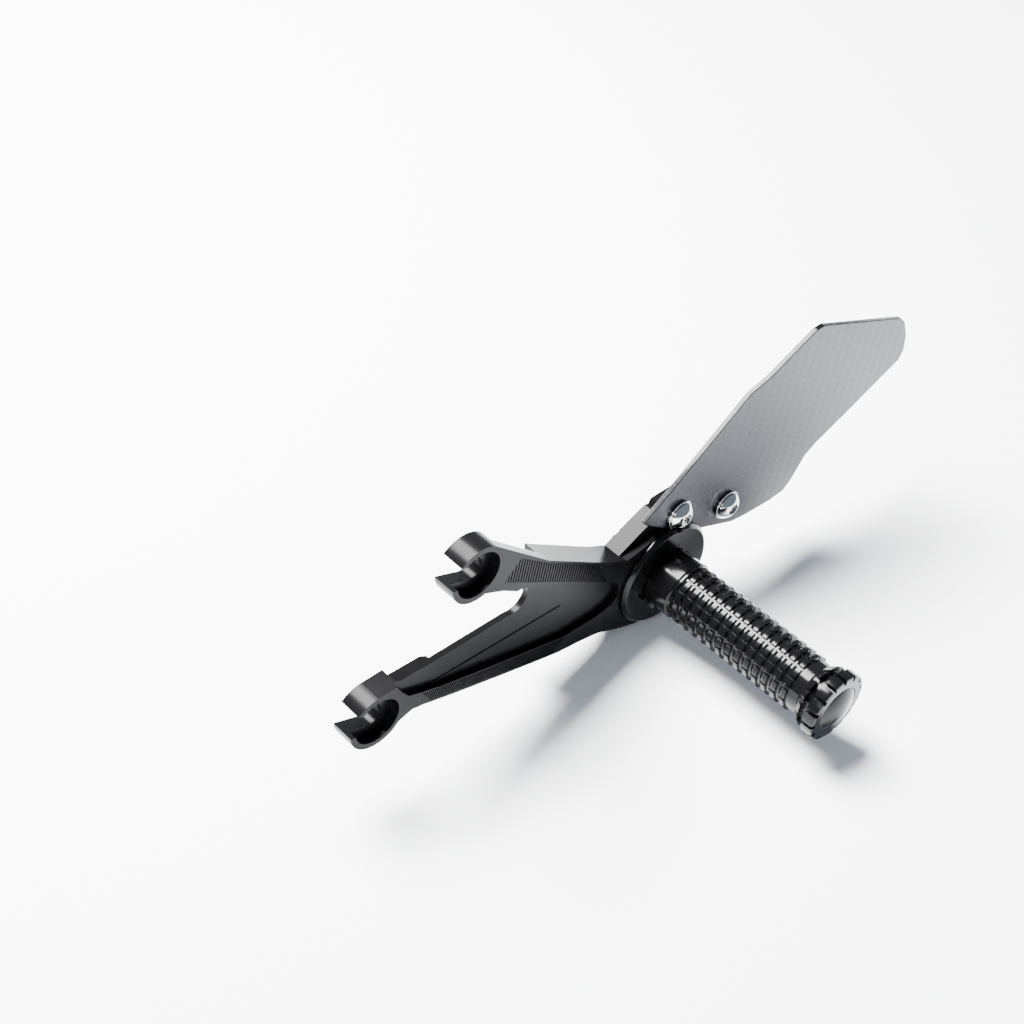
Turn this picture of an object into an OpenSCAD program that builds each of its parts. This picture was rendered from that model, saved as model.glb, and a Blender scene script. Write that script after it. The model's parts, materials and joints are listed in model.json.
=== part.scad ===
// Right-hand rear-set foot peg: a billet hanger with two hooked lugs, a knurled peg on its
// hub, and a bracket that carries a thin heel guard.
// Row frame: the peg's axis lies along Y and the peg points to -Y. The hanger's inboard face
// lies in the plane y = 0. The hooks point to -X and the heel guard rises to +X and +Z.
// Every piece is drawn in the side view, as (x, up, outboard), and turned upright once.

/* [Hanger] */
// Thickness of the hanger at its hub
plate_t = 10; // [8:0.5:14]
// Radius of the hanger's round end
hub_r = 21.5; // [20:0.5:24]
// Thickness of the two slim arms, measured from the outboard face
arm_t = 4.3; // [3.5:0.1:6]
// Depth of the machined panel between the ribs
panel_depth = 2; // [1:0.1:2.4]
// Width of the engraved grooves on the ribs
groove_w = 0.6; // [0.4:0.1:0.8]
// Distance from one engraved groove to the next
groove_pitch = 1.25; // [1.1:0.05:2]

/* [Hooks] */
// Diameter of the hook seats, for M8 frame bolts
hook_bore_d = 8.8; // [8.4:0.1:9.2]
// Width of the slots that lead into the seats
hook_slot_w = 8.6; // [8.2:0.1:8.7]
// Diameter of the counterbore that takes the bolt's collar
hook_counterbore_d = 17.6; // [15:0.1:18.5]
// Depth of that counterbore
hook_counterbore_depth = 3.6; // [2:0.1:5]
// Radius of the hooks' outside
hook_r = 10.9; // [10.2:0.1:12]
// Thickness of the hooks, measured from the outboard face
hook_t = 8.6; // [7:0.1:10]
// Direction in which the hooks open, from +X towards +Z
hook_open_angle = 158; // [150:1:180]

/* [Boss] */
// Radius of the raised boss under the peg
boss_r = 21; // [19:0.5:21.5]
// Height of the boss above the hanger's face
boss_h = 2.3; // [1.5:0.1:4]

/* [Peg] */
// Diameter of the smooth neck
neck_d = 22.6; // [20:0.2:24]
// Length of the smooth neck
neck_len = 10.6; // [8:0.2:16]
// Diameter over the knurled teeth
grip_d = 22; // [20:0.2:24]
// Number of toothed rings on the grip
ring_count = 13; // [6:1:14]
// Distance from one toothed ring to the next
ring_pitch = 4.22; // [3.6:0.02:4.4]
// Number of teeth around each ring
tooth_count = 15; // [8:1:20]
// Width of the slots between the teeth
slot_w = 0.9; // [0.5:0.1:1.2]
// Width of the slots in the end flange
flange_slot_w = 1.4; // [0.8:0.1:2]
// Diameter of the toothed end flange
flange_d = 26.4; // [24:0.2:30]
// Diameter of the domed end plug
plug_d = 17.6; // [16.6:0.2:18.4]

/* [Heel guard] */
// Thickness of the guard sheet
guard_t = 2; // [1.5:0.1:3]
// Thickness of the guard bracket
bracket_t = 6.9; // [5:0.1:7.4]

/* [Hidden] */
$fn = 96;
eps = 0.01;
fit = 0.05;

// Places in the side view
hook_places = [[-91.2, 57.4], [-131.2, 17.5]];
guard_bolt_places = [[5.5, 24.6], [32, 13.5]];
bracket_screw_places = [[-27, 14], [-25, 4]];
gap_end = [-72.6, 31.9];
boss_screw_angles = [0, 120, 240];
boss_dowel_angles = [90, 180];
boss_pcd_r = 16.5;

// Hanger and bracket details
gap_end_r = 6.3;
spigot_bore_r = 8;
groove_depth = 0.35;
bead_h = 0.3;
tongue_t = 3.4;
insert_r = 3.6;
lobe_r = 6.8;
dowel_r = 1.5;
dowel_depth = 4;
boss_screw_r = 1.7;
boss_screw_head_r = 3.5;
boss_screw_head_h = 4;
bracket_screw_r = 2.1;
bracket_screw_head_r = 4.4;
countersink = 2;
guard_bolt_r = 3;
bolt_head_r = 5.25;
bolt_head_h = 3.5;
washer_t = 1.2;

// Heights above the inboard face, all measured outboard
hook_w = plate_t - hook_t;
arm_w = plate_t - arm_t;
boss_top = plate_t + boss_h;
peg_start = boss_top + fit;
grip_start = peg_start + neck_len;
ring_start = grip_start + 1.2;
band_start = ring_start + ring_count * ring_pitch;
flange_start = band_start + 3.1;
flange_len = 10.3;
peg_face = flange_start + flange_len;
guard_face = bracket_t + guard_t;
head_base = guard_face + washer_t;

// Peg build
grip_r = grip_d / 2;
ring_floor_r = grip_r - 0.9;
slot_floor_r = ring_floor_r + 0.15;
core_r = 8.9;
pocket_r = 7.35;
pocket_start = peg_face - 20.8;
core_end = peg_face - 3.3;
bolt_r = 4;
bush_r = 6;
bush_start = peg_start + 2;
bush_end = grip_start + 10;
plug_seat = peg_face - 0.8;
dome_h = 2.5;
tooth_phase = 14.5;
key_r = 1;
key_angle = 40;
neck_screw_r = 1.6;
neck_screw_w = peg_start + 2.4;
neck_screw_angle = 217;

// Hanger outline, in order, from the top hook along the top edge and back below
body_points = [
    [-84.2, 65.7], [-72, 54.8], [-60, 44], [-50, 37.2], [-40, 30.4], [-30, 23.6], [-20, 18.2],
    [-8, 19.9], [0, 0], [-4, -21.1], [-12, -19.6], [-20, -16.4], [-30, -11.6], [-40, -9.4],
    [-50, -7.7], [-60, -4.9], [-80, 1.1], [-100, 7.3], [-112, 11.4], [-117, 12.6],
    [-122.6, 10.9], [-131, 16], [-131, 28.4], [-122.5, 28.4], [-119.5, 27], [-74.4, 25.9],
    [-73, 38.1], [-80, 43], [-88, 47], [-92, 56]
];
// Machined panel between the two ribs
panel_points = [
    [-125.5, 32], [-72, 38.4], [-60, 32.6], [-50, 26.6], [-40, 20], [-31, 13.6], [-25.6, 11.2],
    [-22.6, 7], [-22.4, 2.6], [-25.4, -0.4], [-32, -1.5], [-48, -0.8], [-60, 2.4], [-75, 6.6],
    [-90, 10.8], [-105, 15.2], [-113, 18.2], [-118.4, 20.4], [-121.6, 24.6]
];
// Thick part of the hanger, right of this line
thick_points = [[-62.5, 60], [-58, -20], [40, -40], [40, 60]];
// Fine raised bead along the lower arm's panel
bead_points = [[-115, 17], [-50, 13.7], [-49.6, 14], [-50, 14.3], [-115, 17.6]];
// Engraved bands on the upper and the lower rib
upper_band = [[-79.6, 46.6], [-73, 53.4], [-60, 43], [-34.5, 25.6], [-28.6, 13.2], [-50, 27.4]];
lower_band = [[-113, 17.4], [-108.6, 11.2], [-54, -6], [-47.5, -1.6], [-75, 6], [-90, 10.2]];
// Bracket arm, and its tongue in the hanger's back
bracket_points = [
    [-24, 14], [-22, 18.4], [-11.9, 23.4], [-2.9, 27.3], [-0.6, 26.6], [2, 28.8], [10.3, 28.8],
    [24, 24.6], [36, 18.6], [32, 7], [20, 6], [0, 0]
];
// Nothing of the bracket rises above this line
lobe_limit = [[-30, -30], [60, -30], [60, 28.8], [-30, 28.8]];
tongue_points = [
    [-22, 18.4], [-12, 23.3], [-12.5, 16], [-18, 8], [-18, 2], [-24, -2], [-32.5, 4], [-32.5, 13],
    [-26, 18.5]
];
// Heel guard outline, from its tip along the top edge
guard_points = [
    [-12.4, 30.6], [0, 38.6], [34.5, 63.6], [45, 66.4], [66, 76.2], [70, 76.4], [119.6, 55.8],
    [123, 52.4], [126.2, 45], [127.4, 37], [125.6, 33], [99, 21.6], [82, 14.8], [77, 11.6],
    [70.6, 1.8], [67.4, -1], [60, -1.7], [45, -0.6], [38, 0.6], [18, 9.2], [0, 20.4], [-11, 28.6]
];

// Turns a side view piece upright: its height points outboard
module upright() rotate([90, 0, 0]) children();

// A flat piece between two heights
module slab(low, high) translate([0, 0, low]) linear_extrude(high - low) children();

// A round hole or pin between two heights
module drum(r, low, high) translate([0, 0, low]) cylinder(r = r, h = high - low);

// A washer between two heights
module ring(r_out, r_in, low, high) difference() {
    drum(r_out, low, high);
    drum(r_in, low - 1, high + 1);
}

module at_polar(r, angle) rotate([0, 0, angle]) translate([r, 0, 0]) children();

// Straight slot from a hook's seat out to the open side
module hook_slot(place, low, high)
    translate([place[0], place[1], low]) rotate([0, 0, hook_open_angle])
        translate([0, -hook_slot_w / 2, 0]) cube([hook_r + 6, hook_slot_w, high - low]);

module hook_cut(place) {
    translate([place[0], place[1], 0]) drum(hook_bore_d / 2, -1, plate_t + 1);
    translate([place[0], place[1], 0])
        drum(hook_counterbore_d / 2, plate_t - hook_counterbore_depth, plate_t + 1);
    hook_slot(place, -1, plate_t + 1);
}

// Parallel engraved grooves, kept inside one band
module engraved(points, angle, span) intersection() {
    slab(plate_t - groove_depth, plate_t + 1) polygon(points);
    translate([points[0][0], points[0][1], 0]) rotate([0, 0, angle])
        for (i = [-4 : ceil(span / groove_pitch)])
            translate([i * groove_pitch, -span, plate_t - 1]) cube([groove_w, 2 * span, 3]);
}

module hanger() color([0.09, 0.09, 0.10]) upright() difference() {
    union() {
        // Slim skin of both arms
        slab(arm_w, plate_t) polygon(body_points);
        // Thick part round the hub
        intersection() {
            slab(0, plate_t) polygon(body_points);
            slab(-1, plate_t + 1) polygon(thick_points);
        }
        drum(hub_r, 0, plate_t);
        // Hooks, and the block behind the lower one
        for (place = hook_places) translate([place[0], place[1], 0]) drum(hook_r, hook_w, plate_t);
        slab(hook_w, plate_t) polygon([[-131, 20], [-131, 28.4], [-122.5, 28.4], [-120.5, 22]]);
        slab(3.5, plate_t) polygon([[-124, 21], [-124, 27.6], [-109, 26.8], [-106, 25], [-106, 19]]);
    }
    // Machined panel, with its bead left standing
    difference() {
        slab(plate_t - panel_depth, plate_t + 1) polygon(panel_points);
        slab(plate_t - panel_depth - 1, plate_t - panel_depth + bead_h) polygon(bead_points);
    }
    // Round end of the gap between the arms
    translate([gap_end[0], gap_end[1], 0]) drum(gap_end_r, -1, plate_t + 1);
    for (place = hook_places) hook_cut(place);
    // Bore for the spigot
    drum(spigot_bore_r, -1, plate_t + 1);
    // Room for the heel guard and the inner bolt's washer
    slab(bracket_t - 0.1, plate_t + 1) offset(delta = 0.4) polygon(guard_points);
    translate([guard_bolt_places[0][0], guard_bolt_places[0][1], 0])
        drum(bolt_head_r + 0.8, bracket_t, plate_t + 1);
    // Room for the bracket's lobe behind the boss
    translate([guard_bolt_places[0][0], guard_bolt_places[0][1], 0])
        drum(lobe_r + 0.2, -1, bracket_t + 0.1);
    // Rebate for the bracket's tongue, and its two screw holes
    slab(-1, tongue_t) polygon(tongue_points);
    for (place = bracket_screw_places) translate([place[0], place[1], 0]) {
        drum(bracket_screw_r, 2, 7.5);
        drum(bracket_screw_head_r + 0.2, -1, countersink);
    }
    // Boss screws come from the inboard face, dowels go in from the outboard face
    for (a = boss_screw_angles) at_polar(boss_pcd_r, a) {
        drum(boss_screw_r + 0.5, -1, plate_t + 1);
        drum(boss_screw_head_r + 0.2, -1, boss_screw_head_h);
    }
    for (a = boss_dowel_angles) at_polar(boss_pcd_r, a)
        drum(dowel_r, plate_t - dowel_depth, plate_t + 1);
    engraved(upper_band, -8, 64);
    engraved(lower_band, -31, 66);
}

module peg_boss() color([0.10, 0.10, 0.11]) upright() difference() {
    rotate_extrude() polygon([
        [bolt_r + 0.3, plate_t], [boss_r, plate_t], [boss_r, boss_top - 1.3],
        [boss_r - 1.3, boss_top], [bolt_r + 0.3, boss_top]
    ]);
    for (a = boss_dowel_angles) at_polar(boss_pcd_r, a) drum(dowel_r, plate_t - 1, plate_t + 1.4);
    for (a = boss_screw_angles) at_polar(boss_pcd_r, a) drum(boss_screw_r, plate_t - 1, plate_t + 1.8);
    // Notch that clears the inner guard bolt
    translate([guard_bolt_places[0][0], guard_bolt_places[0][1], 0])
        drum(bolt_head_r + 0.7, plate_t - 1, boss_top + 1);
}

module boss_dowels() color("silver") upright()
    for (a = boss_dowel_angles) at_polar(boss_pcd_r, a)
        drum(dowel_r, plate_t - dowel_depth, plate_t + 1.4);

module boss_screws() color("silver") upright()
    for (a = boss_screw_angles) at_polar(boss_pcd_r, a) difference() {
        union() {
            drum(boss_screw_head_r, 0, boss_screw_head_h);
            drum(boss_screw_r, boss_screw_head_h, plate_t + 1.7);
        }
        translate([0, 0, -1]) cylinder(r = 1.75, h = 3, $fn = 6);
    }

module guard_bracket() color([0.09, 0.09, 0.10]) upright() difference() {
    union() {
        difference() {
            slab(0, bracket_t) polygon(bracket_points);
            slab(-1, plate_t) polygon(body_points);
            drum(hub_r + 0.2, -1, plate_t);
        }
        // Lobes round the two guard bolts
        intersection() {
            slab(0, bracket_t) polygon(lobe_limit);
            for (place = guard_bolt_places) translate([place[0], place[1], 0])
                drum(lobe_r, -1, plate_t);
        }
        slab(0, tongue_t) polygon(tongue_points);
    }
    for (place = guard_bolt_places) translate([place[0], place[1], 0])
        drum(insert_r, -1, bracket_t + 1);
    for (place = bracket_screw_places) translate([place[0], place[1], 0]) {
        drum(bracket_screw_r + 0.5, -1, 4);
        drum(bracket_screw_head_r + 0.2, -1, countersink);
    }
}

module bracket_screws() color("silver") upright()
    for (place = bracket_screw_places) translate([place[0], place[1], 0]) difference() {
        union() {
            drum(bracket_screw_r, countersink, 7.4);
            drum(bracket_screw_head_r, 0.1, countersink);
        }
        translate([0, 0, -1]) cylinder(r = 1.5, h = 2.2, $fn = 6);
    }

module guard_inserts() color("silver") upright()
    for (place = guard_bolt_places) translate([place[0], place[1], 0])
        ring(insert_r, guard_bolt_r, 0, bracket_t);

module heel_guard() color([0.30, 0.31, 0.34]) upright() difference() {
    slab(bracket_t, guard_face) polygon(guard_points);
    for (place = guard_bolt_places) translate([place[0], place[1], 0])
        drum(guard_bolt_r + 0.2, 0, guard_face + 1);
}

module guard_washers() color("silver") upright()
    for (place = guard_bolt_places) translate([place[0], place[1], 0])
        ring(bolt_head_r + 0.5, guard_bolt_r + 0.1, guard_face, head_base);

// Button head: a spherical cap over a short cylinder, with a hexagon socket
module button_head(r, h) difference() {
    intersection() {
        drum(r, 0, h);
        translate([0, 0, h - 6.2]) sphere(r = 6.2, $fn = 64);
    }
    translate([0, 0, h - 2]) cylinder(r = 2.31, h = 3, $fn = 6);
}

module guard_bolts() color("silver") upright()
    for (place = guard_bolt_places) translate([place[0], place[1], 0]) {
        drum(guard_bolt_r, 0.6, head_base + eps);
        translate([0, 0, head_base]) button_head(bolt_head_r, bolt_head_h);
    }

// Spigot: pressed into the hub, it holds the peg bolt and carries the brake lever's bearing
module lever_spigot() color("silver") upright() difference() {
    rotate_extrude() polygon([
        [0, -12], [4.5, -12], [5, -11.5], [5, 0], [spigot_bore_r, 0], [spigot_bore_r, plate_t],
        [0, plate_t]
    ]);
    drum(2.1, -13, -4);
    drum(bolt_r + fit, 1, plate_t + 1);
}

module peg_bolt() color([0.16, 0.16, 0.17]) upright() difference() {
    union() {
        drum(bolt_r, 1.5, pocket_start + 3.6);
        drum(6.5, pocket_start + 3.6, pocket_start + 11.6);
    }
    translate([0, 0, pocket_start + 7.6]) cylinder(r = 3.46, h = 9, $fn = 6);
}

module bolt_spring_washer() color("silver") upright()
    ring(6.6, bolt_r + 0.2, pocket_start + 1.6, pocket_start + 3.6);

module bolt_washer() color("silver") upright()
    ring(7, bolt_r + 0.2, pocket_start + fit, pocket_start + 1.6);

// Bush that the slackened peg turns on
module bolt_bush() color([0.72, 0.55, 0.30]) upright()
    ring(bush_r, bolt_r + 0.02, bush_start, bush_end);

// Pin, parallel to the peg's axis, that keeps the sleeve from turning on the core
module key_pin() at_polar(core_r, key_angle) drum(key_r, grip_start - 2, grip_start + 3);

// The neck screw's own axis, from the peg's axis outwards
module at_neck_screw()
    translate([0, 0, neck_screw_w]) rotate([0, 0, neck_screw_angle]) rotate([0, 90, 0]) children();

module peg_core() color([0.10, 0.10, 0.11]) upright() difference() {
    rotate_extrude() polygon([
        [bolt_r + 0.3, peg_start], [neck_d / 2 - 0.5, peg_start], [neck_d / 2, peg_start + 0.5],
        [neck_d / 2, grip_start - 0.5], [neck_d / 2 - 0.5, grip_start], [core_r, grip_start],
        [core_r, core_end], [pocket_r, core_end], [pocket_r, pocket_start],
        [bolt_r + 0.3, pocket_start]
    ]);
    drum(bush_r + fit, bush_start - 0.1, bush_end + 0.1);
    key_pin();
    // Threaded hole for the neck screw
    at_neck_screw() drum(neck_screw_r, 7, neck_d);
}

module core_dowel() color("silver") upright() key_pin();

// One toothed ring in section: a ramp, a land and a sharp drop
function ring_section(start) = [
    [ring_floor_r, start], [grip_r, start + 1.4], [grip_r, start + 3.1], [ring_floor_r, start + 3.3]
];

module tooth_slots(low, high, r_floor, w) for (i = [0 : tooth_count - 1])
    rotate([0, 0, tooth_phase + i * 360 / tooth_count])
        translate([r_floor, -w / 2, low]) cube([flange_d / 2, w, high - low]);

module peg_sleeve() color([0.10, 0.10, 0.11]) upright() difference() {
    rotate_extrude() polygon(concat(
        [[core_r + fit, grip_start], [grip_r - 0.2, grip_start], [grip_r - 0.2, grip_start + 0.8],
         [ring_floor_r, grip_start + 0.8]],
        [for (i = [0 : ring_count - 1]) each ring_section(ring_start + i * ring_pitch)],
        [[ring_floor_r, flange_start], [core_r + fit, flange_start]]
    ));
    tooth_slots(ring_start - 0.2, band_start, slot_floor_r, slot_w);
    key_pin();
}

module peg_end_flange() color([0.10, 0.10, 0.11]) upright() {
    r = flange_d / 2;
    difference() {
        rotate_extrude() polygon([
            [core_r + fit, flange_start], [ring_floor_r, flange_start], [r - 0.9, flange_start + 3],
            [ring_floor_r, flange_start + 3.1], [ring_floor_r, flange_start + 5.6],
            [r, flange_start + 5.7], [r, peg_face - 1.1], [r - 0.3, peg_face - 0.4],
            [r - 1.1, peg_face], [plug_d / 2 + fit, peg_face], [plug_d / 2 + fit, plug_seat],
            [pocket_r + 0.15, plug_seat], [pocket_r + 0.15, core_end + fit],
            [core_r + fit, core_end + fit]
        ]);
        tooth_slots(flange_start + 0.9, flange_start + 3.4, slot_floor_r + 0.6, flange_slot_w);
        tooth_slots(flange_start + 5, peg_face + 1, r - 1.8, flange_slot_w);
    }
}

module end_plug() color([0.20, 0.20, 0.21]) upright() difference() {
    r = plug_d / 2;
    dome_r = (r * r + dome_h * dome_h) / (2 * dome_h);
    union() {
        drum(pocket_r - 0.05, peg_face - 8.8, plug_seat + eps);
        drum(r, plug_seat, peg_face - 0.2);
        intersection() {
            drum(r, peg_face - 0.2, peg_face + 4);
            translate([0, 0, peg_face - 0.2 + dome_h - dome_r]) sphere(r = dome_r, $fn = 128);
        }
    }
    // Groove for the seal
    ring(pocket_r + 1, pocket_r - 0.8, peg_face - 2.6, peg_face - 1.4);
}

module plug_seal() color([0.05, 0.05, 0.05]) upright()
    translate([0, 0, peg_face - 2]) rotate_extrude()
        translate([pocket_r - 0.35, 0]) circle(r = 0.45, $fn = 24);

module neck_screw() color("silver") upright() at_neck_screw() difference() {
    drum(neck_screw_r, 7.2, neck_d / 2 + 1);
    translate([0, 0, neck_d / 2 - 1]) cylinder(r = 0.9, h = 4, $fn = 6);
}

hanger();
peg_boss();
boss_dowels();
boss_screws();
guard_bracket();
bracket_screws();
guard_inserts();
heel_guard();
guard_washers();
guard_bolts();
lever_spigot();
peg_bolt();
bolt_spring_washer();
bolt_washer();
bolt_bush();
peg_core();
core_dowel();
peg_sleeve();
peg_end_flange();
end_plug();
plug_seal();
neck_screw();
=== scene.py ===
"""Right-hand foot peg assembly: materials, softened edges, studio floor, light and camera."""
import json
import math

import bmesh
import bpy
from mathutils import Matrix, Vector


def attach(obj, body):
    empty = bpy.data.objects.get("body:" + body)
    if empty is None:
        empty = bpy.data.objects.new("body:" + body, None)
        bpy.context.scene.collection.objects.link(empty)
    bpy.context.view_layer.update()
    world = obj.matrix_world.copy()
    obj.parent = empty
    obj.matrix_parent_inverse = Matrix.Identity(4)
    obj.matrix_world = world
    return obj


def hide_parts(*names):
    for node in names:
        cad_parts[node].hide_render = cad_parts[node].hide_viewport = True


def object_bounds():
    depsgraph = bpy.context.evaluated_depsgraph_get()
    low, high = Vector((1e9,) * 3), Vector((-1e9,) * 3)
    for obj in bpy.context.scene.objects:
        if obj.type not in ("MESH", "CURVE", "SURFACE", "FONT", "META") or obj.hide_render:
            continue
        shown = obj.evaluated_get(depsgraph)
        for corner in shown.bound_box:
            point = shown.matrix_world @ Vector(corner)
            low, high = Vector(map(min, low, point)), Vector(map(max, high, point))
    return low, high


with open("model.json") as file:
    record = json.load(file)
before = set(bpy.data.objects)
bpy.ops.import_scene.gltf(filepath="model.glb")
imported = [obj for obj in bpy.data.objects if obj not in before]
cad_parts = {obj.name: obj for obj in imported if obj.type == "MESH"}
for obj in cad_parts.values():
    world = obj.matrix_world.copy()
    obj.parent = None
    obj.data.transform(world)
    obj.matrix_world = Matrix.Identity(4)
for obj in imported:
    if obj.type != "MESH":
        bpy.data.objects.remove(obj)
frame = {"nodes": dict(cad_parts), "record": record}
cad_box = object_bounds()

MM = 0.001
FLAT_ANGLE = math.radians(0.6)
SHARP_ANGLE = math.radians(30)
WELD = 0.001 * MM

# Fine details of the hanger, as heights above its inboard face, that keep their edges sharp
GROOVE_FLOOR = 9.65 * MM
BEAD_TOP = 8.3 * MM
LEVEL_REACH = 0.005 * MM

# Chamfer width in mm and segments of each piece whose edges are softened
CHAMFERS = {
    "hanger": (0.30, 2),
    "peg_boss": (0.30, 2),
    "guard_bracket": (0.45, 2),
    "heel_guard": (0.30, 3),
    "guard_bolts": (0.18, 2),
    "guard_washers": (0.20, 2),
    "peg_core": (0.15, 2),
    "peg_sleeve": (0.10, 2),
    "peg_end_flange": (0.12, 2),
    "end_plug": (0.15, 2),
    "lever_spigot": (0.20, 2),
    "bracket_screws": (0.25, 2),
    "boss_screws": (0.20, 2),
    "neck_screw": (0.12, 2),
}

# Carbon twill
TOW = 1.9 * MM
TWILL_TURN = math.radians(38)

# Floor, camera and surroundings
FLOOR_HALF_SIZE = 3.0
CAMERA_PLACE = (-0.37267, -0.29259, 0.46919)
CAMERA_RIGHT = (0.7351, -0.6749, 0.0639)
CAMERA_BACK = (-0.5193, -0.5000, 0.6930)
SENSOR_MM = 36
LENS_MM = 65.04
WORLD_COLOUR = (0.70, 0.83, 1.0, 1)
WORLD_STRENGTH = 0.4


# ---------------------------------------------------------------- node helpers
class Graph:
    """Short names for building one material's node tree. Patterns follow the object's own axes."""

    def __init__(self, name):
        self.material = bpy.data.materials.new(name)
        self.material.use_nodes = True
        self.tree = self.material.node_tree
        self.tree.nodes.clear()
        self.output = self.tree.nodes.new("ShaderNodeOutputMaterial")
        self.shader = self.tree.nodes.new("ShaderNodeBsdfPrincipled")
        self.link(self.shader.outputs[0], self.output.inputs["Surface"])
        self.place = self.tree.nodes.new("ShaderNodeTexCoord").outputs["Object"]

    def link(self, source, target):
        self.tree.links.new(source, target)

    def set(self, **values):
        for name, value in values.items():
            self.shader.inputs[name.replace("_", " ")].default_value = value

    def math(self, operation, a, b=0.0, c=0.0):
        node = self.tree.nodes.new("ShaderNodeMath")
        node.operation = operation
        for socket, value in zip(node.inputs, (a, b, c)):
            if isinstance(value, (int, float)):
                socket.default_value = value
            else:
                self.link(value, socket)
        return node.outputs[0]

    def noise(self, scale, detail=3.0, roughness=0.5, place=None):
        node = self.tree.nodes.new("ShaderNodeTexNoise")
        node.inputs["Scale"].default_value = scale
        node.inputs["Detail"].default_value = detail
        node.inputs["Roughness"].default_value = roughness
        self.link(place or self.place, node.inputs["Vector"])
        return node.outputs["Fac"]

    def stretch(self, factors):
        node = self.tree.nodes.new("ShaderNodeMapping")
        node.inputs["Scale"].default_value = factors
        self.link(self.place, node.inputs["Vector"])
        return node.outputs["Vector"]

    def axes(self):
        node = self.tree.nodes.new("ShaderNodeSeparateXYZ")
        self.link(self.place, node.inputs[0])
        return node.outputs

    def normal_axes(self):
        """The surface's own normal, in the object's axes."""
        source = self.tree.nodes.new("ShaderNodeTexCoord").outputs["Normal"]
        node = self.tree.nodes.new("ShaderNodeSeparateXYZ")
        self.link(source, node.inputs[0])
        return node.outputs

    def shade(self, colour, factor):
        """A colour made darker by a factor of 0 to 1."""
        node = self.tree.nodes.new("ShaderNodeVectorMath")
        node.operation = "SCALE"
        self.link(colour, node.inputs[0])
        self.link(factor, node.inputs["Scale"])
        return node.outputs[0]

    def ramp(self, factor, *stops):
        node = self.tree.nodes.new("ShaderNodeValToRGB")
        elements = node.color_ramp.elements
        while len(elements) < len(stops):
            elements.new(0.5)
        for element, (position, colour) in zip(elements, stops):
            element.position = position
            element.color = colour if len(colour) == 4 else (*colour, 1)
        self.link(factor, node.inputs[0])
        return node.outputs[0]

    def spread(self, factor, low, high):
        """A factor of 0 to 1 turned into a range."""
        node = self.tree.nodes.new("ShaderNodeMapRange")
        node.inputs["To Min"].default_value = low
        node.inputs["To Max"].default_value = high
        self.link(factor, node.inputs["Value"])
        return node.outputs[0]

    def bump(self, height, distance, strength=1.0):
        node = self.tree.nodes.new("ShaderNodeBump")
        node.inputs["Strength"].default_value = strength
        node.inputs["Distance"].default_value = distance
        self.link(height, node.inputs["Height"])
        self.link(node.outputs[0], self.shader.inputs["Normal"])


def grey(value, blue=1.0):
    return (value, value, value * blue)


# ---------------------------------------------------------------- materials
def anodised(name, value, roughness, grain):
    """Black anodised aluminium: a fine blasted grain, faint cloudiness and slight handling marks."""
    g = Graph(name)
    fine = g.noise(2600, 2.0)
    cloud = g.noise(38, 4.0, 0.6)
    marks = g.noise(420, 5.0, 0.7, g.stretch((1, 1, 0.12)))
    g.set(Metallic=0.0, IOR=1.5, Specular_IOR_Level=0.05)
    tone = g.ramp(cloud, (0.3, grey(value * 0.86, 1.10)), (0.7, grey(value * 1.16, 1.12)))
    g.link(tone, g.shader.inputs["Base Color"])
    cloudy_rough = g.spread(cloud, roughness - 0.05, roughness + 0.05)
    rough = g.math("ADD", cloudy_rough, g.spread(marks, -0.03, 0.03))
    g.link(rough, g.shader.inputs["Roughness"])
    g.bump(g.math("ADD", fine, g.math("MULTIPLY", marks, 0.3)), grain)
    return g.material


def turned(name, value, roughness):
    """Turned black anodised aluminium: very fine rings round the peg's axis."""
    g = Graph(name)
    rings = g.noise(1.0, 3.0, 0.6, g.stretch((40, 9000, 40)))
    cloud = g.noise(60, 4.0, 0.6)
    g.set(Metallic=0.0, IOR=1.5, Specular_IOR_Level=0.15)
    tone = g.ramp(cloud, (0.3, grey(value * 0.85, 1.10)), (0.7, grey(value * 1.2, 1.12)))
    g.link(tone, g.shader.inputs["Base Color"])
    g.link(g.spread(rings, roughness - 0.05, roughness + 0.07), g.shader.inputs["Roughness"])
    g.bump(rings, 0.00001, 0.5)
    return g.material


def steel(name, value, roughness, warm=1.0):
    """Ground or polished steel, finely grained and slightly smudged."""
    g = Graph(name)
    grain = g.noise(1.0, 3.0, 0.6, g.stretch((900, 900, 900)))
    smudge = g.noise(90, 4.0, 0.6)
    g.set(Metallic=1.0)
    tone = g.ramp(smudge, (0.3, (value * 0.93, value * 0.93, value * 0.93 * warm)),
                  (0.7, (value * 1.03, value * 1.03, value * 1.03 * warm)))
    g.link(tone, g.shader.inputs["Base Color"])
    g.link(g.spread(smudge, roughness * 0.7, roughness * 1.35), g.shader.inputs["Roughness"])
    g.bump(grain, 0.000006, 0.5)
    return g.material


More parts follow.
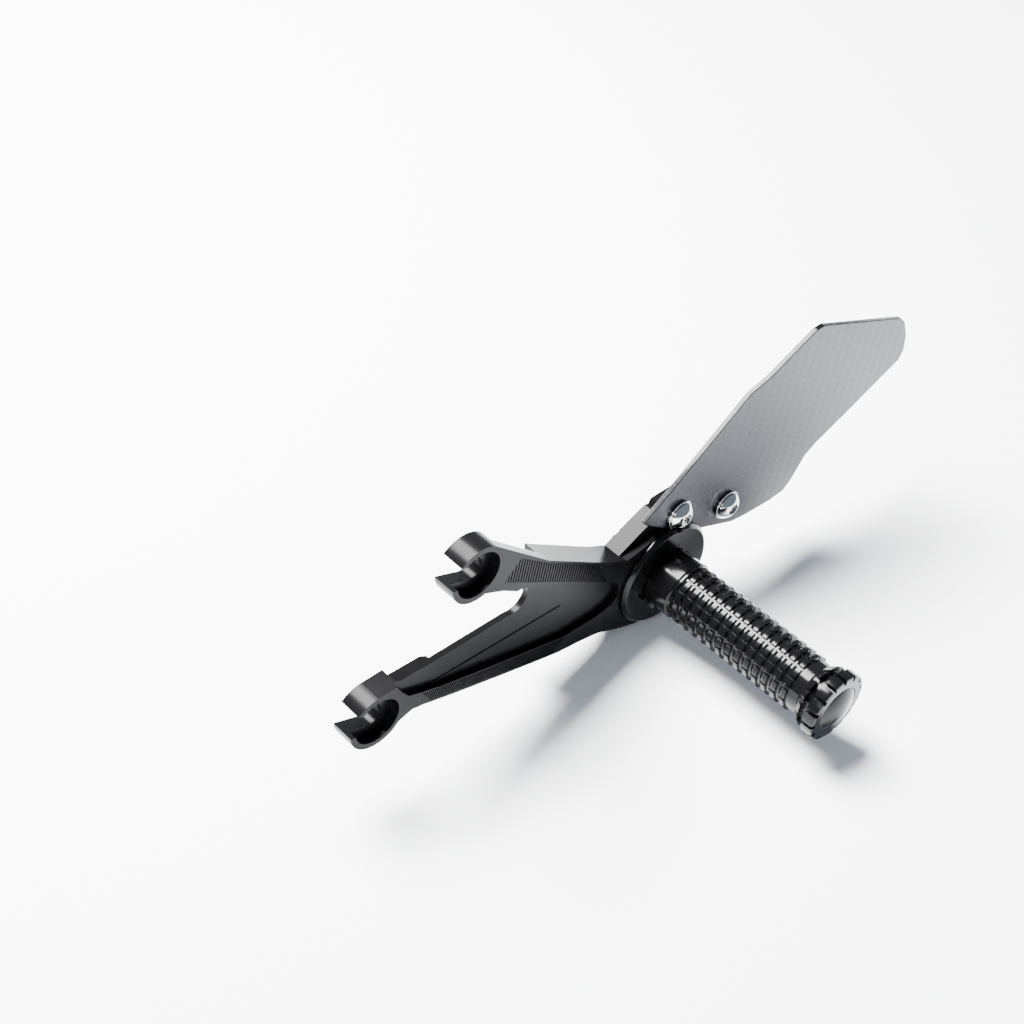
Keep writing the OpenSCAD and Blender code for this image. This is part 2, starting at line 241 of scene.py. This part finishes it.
def carbon(name):
    """Clear-coated 2 x 2 twill of rounded strands, with painted shade on the sheet's cut edges."""
    g = Graph(name)
    x, _, z = g.axes()
    cos, sin = math.cos(TWILL_TURN), math.sin(TWILL_TURN)
    u = g.math("DIVIDE", g.math("ADD", g.math("MULTIPLY", x, cos), g.math("MULTIPLY", z, sin)), TOW)
    v = g.math("DIVIDE", g.math("SUBTRACT", g.math("MULTIPLY", z, cos), g.math("MULTIPLY", x, sin)), TOW)
    cell = g.math("SUBTRACT", g.math("FLOOR", u), g.math("FLOOR", v))
    over = g.math("LESS_THAN", g.math("FLOORED_MODULO", cell, 4.0), 1.99)
    across_u = g.math("PINGPONG", u, 0.5)
    across_v = g.math("PINGPONG", v, 0.5)
    warp = g.math("MULTIPLY", over, g.math("POWER", g.math("MULTIPLY", across_v, 2.0), 0.5))
    weft = g.math("MULTIPLY", g.math("SUBTRACT", 1.0, over),
                  g.math("POWER", g.math("MULTIPLY", across_u, 2.0), 0.5))
    strand = g.math("ADD", warp, weft)
    fibre = g.noise(2400, 2.0)
    tone_fac = g.math("ADD", g.math("MULTIPLY", over, 0.35),
                      g.math("ADD", g.math("MULTIPLY", strand, 0.45), g.math("MULTIPLY", fibre, 0.2)))
    tone = g.ramp(tone_fac, (0.1, (0.001, 0.0014, 0.003)), (0.95, (0.0125, 0.0150, 0.0245)))
    # Painted shade: every face not facing along y, which means the sheet's cut edges, is darkened to a
    # tenth of the twill's colour
    unshaded_face_mask = g.math("GREATER_THAN", g.math("ABSOLUTE", g.normal_axes()[1]), 0.9)
    light = g.math("ADD", g.math("MULTIPLY", unshaded_face_mask, 0.9), 0.1)
    g.link(g.shade(tone, light), g.shader.inputs["Base Color"])
    g.link(g.spread(over, 0.34, 0.42), g.shader.inputs["Roughness"])
    g.set(Metallic=0.8, Coat_Weight=0.18, Coat_Roughness=0.05, Coat_IOR=1.5)
    g.bump(strand, 0.00004, 0.6)
    return g.material


def rubber(name):
    """Moulded nitrile with a faint dusty bloom."""
    g = Graph(name)
    bloom = g.noise(300, 4.0, 0.6)
    tone = g.ramp(bloom, (0.3, grey(0.012)), (0.75, grey(0.03)))
    g.link(tone, g.shader.inputs["Base Color"])
    g.link(g.spread(bloom, 0.5, 0.75), g.shader.inputs["Roughness"])
    g.bump(bloom, 0.00002)
    return g.material


def bronze(name):
    """Sintered bronze: dull, with tiny pores."""
    g = Graph(name)
    pores = g.noise(1500, 3.0, 0.7)
    g.set(Metallic=1.0)
    tone = g.ramp(pores, (0.35, (0.30, 0.19, 0.08)), (0.6, (0.56, 0.38, 0.17)))
    g.link(tone, g.shader.inputs["Base Color"])
    g.link(g.spread(pores, 0.3, 0.5), g.shader.inputs["Roughness"])
    g.bump(pores, 0.00002)
    return g.material


MATERIALS = {
    "anodised": anodised("anodised_satin", 0.003, 0.24, 0.000004),
    "anodised_gloss": turned("anodised_turned", 0.0025, 0.13),
    "carbon": carbon("carbon_twill"),
    "stainless": steel("stainless_polished", 0.60, 0.08, 0.96),
    "steel": steel("steel_ground", 0.55, 0.26),
    "steel_dark": steel("steel_black_oxide", 0.06, 0.32),
    "bronze": bronze("bronze_sintered"),
    "seal_rubber": rubber("nitrile_rubber"),
}

# ---------------------------------------------------------------- pieces
SLOT_OF = {row["node"]: row["material_slot"] for row in frame["record"]["subparts"]}
BODIES = frame["record"]["behaviour"]["bodies"]
BODY_OF = {node: body for body, nodes in BODIES.items() for node in nodes}


def paint(piece, material):
    piece.data.materials.clear()
    piece.data.materials.append(material)


def softened(node, width, segments, fine_levels):
    """A copy of a CAD node with small machined chamfers on its edges, which stands for the node.
    Edges near a vertex at one of the fine levels (heights above the inboard face) stay sharp."""
    mesh = frame["nodes"][node].data.copy()
    mesh.name = node + "_soft"
    edit = bmesh.new()
    edit.from_mesh(mesh)
    bmesh.ops.remove_doubles(edit, verts=edit.verts, dist=WELD)
    bmesh.ops.dissolve_degenerate(edit, edges=edit.edges, dist=WELD)
    bmesh.ops.dissolve_limit(edit, angle_limit=FLAT_ANGLE, verts=edit.verts, edges=edit.edges)
    at_level = {
        v for v in edit.verts
        if any(abs(-v.co.y - level) < LEVEL_REACH for level in fine_levels)
    }
    fine = at_level | {e.other_vert(v) for v in at_level for e in v.link_edges}
    weight = edit.edges.layers.float.new("bevel_weight_edge")
    for edge in edit.edges:
        corner = len(edge.link_faces) == 2 and edge.calc_face_angle() > SHARP_ANGLE
        keep_sharp = corner and any(v in fine for v in edge.verts)
        edge[weight] = 1.0 if corner and not keep_sharp else 0.0
        edge.smooth = not keep_sharp
    for face in edit.faces:
        face.smooth = True
    edit.to_mesh(mesh)
    edit.free()
    piece = bpy.data.objects.new(node + "_soft", mesh)
    bpy.context.scene.collection.objects.link(piece)
    bevel = piece.modifiers.new("chamfer", "BEVEL")
    bevel.width = width
    bevel.segments = segments
    bevel.limit_method = "WEIGHT"
    bevel.miter_outer = "MITER_ARC"
    smooth = piece.modifiers.new("normals", "WEIGHTED_NORMAL")
    smooth.keep_sharp = True
    smooth.weight = 60
    paint(piece, MATERIALS[SLOT_OF[node]])
    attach(piece, BODY_OF[node])
    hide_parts(node)


for name, node in frame["nodes"].items():
    paint(node, MATERIALS[SLOT_OF[name]])
for name, (width, segments) in CHAMFERS.items():
    fine_levels = (GROOVE_FLOOR, BEAD_TOP) if name == "hanger" else ()
    softened(name, width * MM, segments, fine_levels)


# ---------------------------------------------------------------- floor, light and camera
def floor(height):
    """A wide pale floor, level with the lowest point of the object."""
    edit = bmesh.new()
    bmesh.ops.create_grid(edit, x_segments=2, y_segments=2, size=FLOOR_HALF_SIZE)
    mesh = bpy.data.meshes.new("floor")
    edit.to_mesh(mesh)
    edit.free()
    plane = bpy.data.objects.new("floor", mesh)
    plane.location = (0, 0, height)
    bpy.context.scene.collection.objects.link(plane)
    g = Graph("floor_paper")
    grain = g.noise(700, 2.0)
    tone = g.ramp(grain, (0.3, (0.86, 0.875, 0.90)), (0.7, (0.885, 0.90, 0.925)))
    g.link(tone, g.shader.inputs["Base Color"])
    g.set(Roughness=0.85)
    paint(plane, g.material)


def softbox(name, place, target, width, height, power, colour):
    """A rectangular light at place that faces target."""
    lamp = bpy.data.lights.new(name, "AREA")
    lamp.shape = "RECTANGLE"
    lamp.size = width
    lamp.size_y = height
    lamp.energy = power
    lamp.color = colour
    holder = bpy.data.objects.new(name, lamp)
    holder.location = place
    holder.rotation_euler = (Vector(target) - Vector(place)).to_track_quat("-Z", "Y").to_euler()
    bpy.context.scene.collection.objects.link(holder)


def camera():
    """The photograph's view: from the front, outboard and above, with a slight roll."""
    lens = bpy.data.cameras.new("camera")
    lens.sensor_width = SENSOR_MM
    lens.lens = LENS_MM
    lens.clip_start = 0.01
    holder = bpy.data.objects.new("camera", lens)
    right = Vector(CAMERA_RIGHT).normalized()
    back = Vector(CAMERA_BACK).normalized()
    up = back.cross(right).normalized()
    right = up.cross(back)
    turn = Matrix((right, up, back)).transposed()
    holder.matrix_world = Matrix.Translation(CAMERA_PLACE) @ turn.to_4x4()
    bpy.context.scene.collection.objects.link(holder)
    bpy.context.scene.camera = holder


def surroundings():
    """Dim bluish light from all round."""
    world = bpy.data.worlds.new("studio")
    world.use_nodes = True
    background = world.node_tree.nodes["Background"]
    background.inputs["Color"].default_value = WORLD_COLOUR
    background.inputs["Strength"].default_value = WORLD_STRENGTH
    bpy.context.scene.world = world


lowest, highest = (Vector(corner) for corner in cad_box)
centre = (lowest + highest) / 2
floor(lowest.z)
softbox("main", (-0.12, 0.50, 0.90), centre, 0.60, 0.60, 145, (1.0, 0.99, 0.98))
softbox("side", (-1.1, -0.1, 0.6), centre, 0.5, 0.25, 6, (0.93, 0.96, 1.0))
surroundings()
camera()
